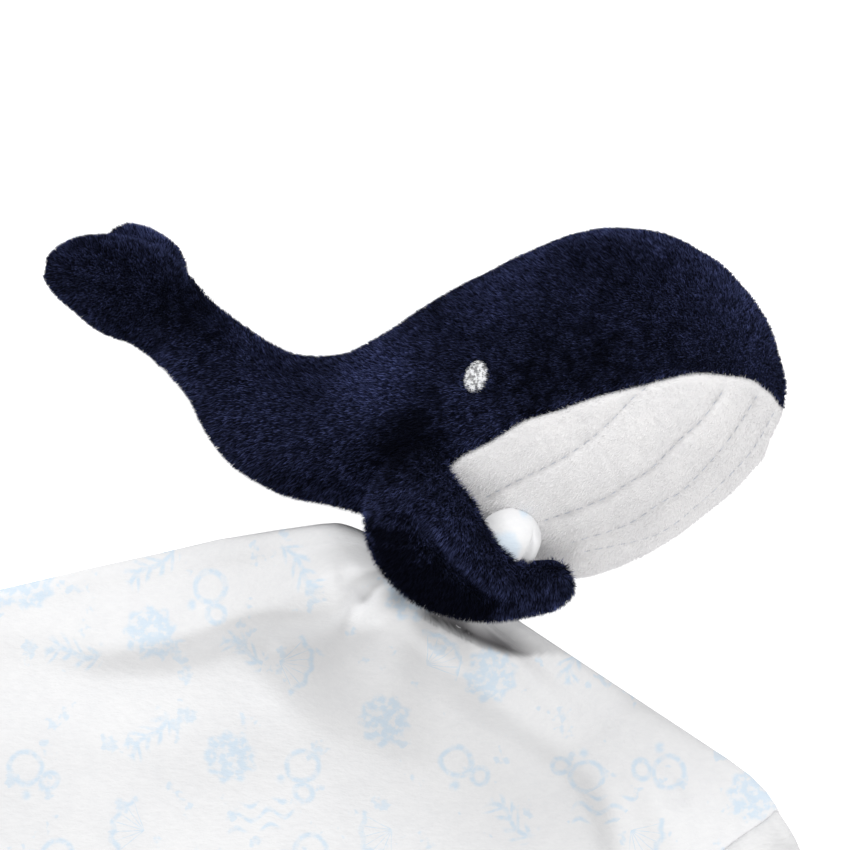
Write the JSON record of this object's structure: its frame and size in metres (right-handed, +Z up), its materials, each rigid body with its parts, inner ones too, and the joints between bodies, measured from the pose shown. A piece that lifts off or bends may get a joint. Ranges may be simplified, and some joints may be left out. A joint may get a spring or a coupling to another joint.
{
  "type": "comfort blanket",
  "caption": "Plush whale with hinged flippers, tail and fluke, hugging the gathered middle of a soft square blanket with a printed front.",
  "frame": {"origin": "centre of the flat stretch of the blanket's underside on the table, straight below the gather", "axes": "the toy lies on its left side: +X towards the snout, +Y towards the whale's back, +Z up from the table"},
  "size_m": [0.257, 0.2526, 0.0781],
  "materials": {
    "navy_plush": "matte",
    "white_plush": "matte",
    "printed_plush": "matte",
    "plain_plush": "matte",
    "filling": "matte",
    "pleat_thread": "matte",
    "eye_thread": "satin",
    "sewing_thread": "matte"
  },
  "bodies": {
    "whale_and_blanket": {"near_side_panel": "navy_plush", "far_side_panel": "navy_plush", "belly_panel": "white_plush", "body_filling": "filling", "near_pleat_stitching_1": "pleat_thread", "near_pleat_stitching_2": "pleat_thread", "near_pleat_stitching_3": "pleat_thread", "near_pleat_stitching_4": "pleat_thread", "far_pleat_stitching_1": "pleat_thread", "far_pleat_stitching_2": "pleat_thread", "far_pleat_stitching_3": "pleat_thread", "far_pleat_stitching_4": "pleat_thread", "near_eye_embroidery": "eye_thread", "far_eye_embroidery": "eye_thread", "blanket_front": "printed_plush", "blanket_back": "plain_plush", "blanket_edge_seam": "plain_plush", "gather_binding_thread": "sewing_thread", "belly_tack_stitch_1": "sewing_thread", "belly_tack_stitch_2": "sewing_thread"},
    "tail": {"tail_near_panel": "navy_plush", "tail_far_panel": "navy_plush", "tail_filling": "filling"},
    "fluke": {"fluke_upper_panel": "navy_plush", "fluke_lower_panel": "navy_plush", "fluke_filling": "filling"},
    "near_flipper": {"near_flipper_outer_panel": "navy_plush", "near_flipper_inner_panel": "navy_plush", "near_flipper_filling": "filling"},
    "far_flipper": {"far_flipper_outer_panel": "navy_plush", "far_flipper_inner_panel": "navy_plush", "far_flipper_filling": "filling"}
  },
  "joints": [
    {"name": "tail_bend", "type": "hinge", "parent": "whale_and_blanket", "child": "tail", "pos_m": [-0.036, 0.12699, 0.03253], "axis": [0, 0, 1], "range_deg": [-20, 25], "stiffness_Nm_per_rad": 0.06},
    {"name": "fluke_flop", "type": "hinge", "parent": "tail", "child": "fluke", "pos_m": [-0.0785, 0.15592, 0.02515], "axis": [0, 0, 1], "range_deg": [-30, 30], "stiffness_Nm_per_rad": 0.02},
    {"name": "near_flipper_lift", "type": "hinge", "parent": "whale_and_blanket", "child": "near_flipper", "pos_m": [-0.0138, 0.111, 0.07], "axis": [-0.9418, -0.264, -0.208], "range_deg": [0, 60], "stiffness_Nm_per_rad": 0.02},
    {"name": "far_flipper_lift", "type": "hinge", "parent": "whale_and_blanket", "child": "far_flipper", "pos_m": [-0.0138, 0.111, 0.008], "axis": [0.9418, 0.264, -0.208], "range_deg": [0, 35], "stiffness_Nm_per_rad": 0.02}
  ]
}
